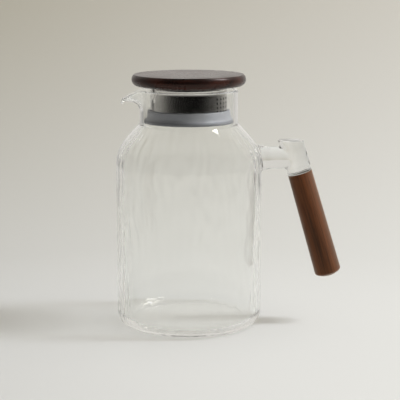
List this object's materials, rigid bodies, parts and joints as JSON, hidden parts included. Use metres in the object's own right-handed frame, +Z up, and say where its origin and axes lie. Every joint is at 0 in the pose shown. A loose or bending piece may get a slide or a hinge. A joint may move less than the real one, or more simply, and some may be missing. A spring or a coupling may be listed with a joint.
{
  "type": "glass pitcher",
  "caption": "Straight-sided clear glass jug with a pulled spout, a wooden strainer lid that lifts off and turns, and a slanted wooden grip on a glass arm.",
  "frame": {"origin": "centre of the base's underside, on the vessel's axis", "axes": "+Z up along the vessel's axis, +X towards the handle, -X towards the spout; the XZ plane is the mirror plane"},
  "size_m": [0.1957, 0.126, 0.218],
  "materials": {
    "clear_glass": "fire polished, lightly rippled",
    "bush_rubber": "matte",
    "grip_walnut": "oiled walnut, satin",
    "lid_walnut": "dark stained walnut, satin lacquer",
    "polished_steel": "mirror polished stainless steel",
    "seal_silicone": "translucent satin silicone",
    "screw_steel": "bright steel"
  },
  "bodies": {
    "jug": {"jug_body": "clear_glass", "handle_arm": "clear_glass", "grip_bush": "bush_rubber", "handle_grip": "grip_walnut"},
    "seal": {"lid_seal": "seal_silicone"},
    "lid": {"lid_disc": "lid_walnut", "lid_drum": "polished_steel", "lid_screws": "screw_steel"}
  },
  "joints": [
    {"name": "lid_lift", "type": "slide", "parent": "jug", "child": "seal", "axis": [0, 0, 1], "range_m": [0, 0.06]},
    {"name": "lid_turn", "type": "hinge", "parent": "seal", "child": "lid", "pos_m": [0, 0, 0.19], "axis": [0, 0, 1], "continuous": true}
  ]
}
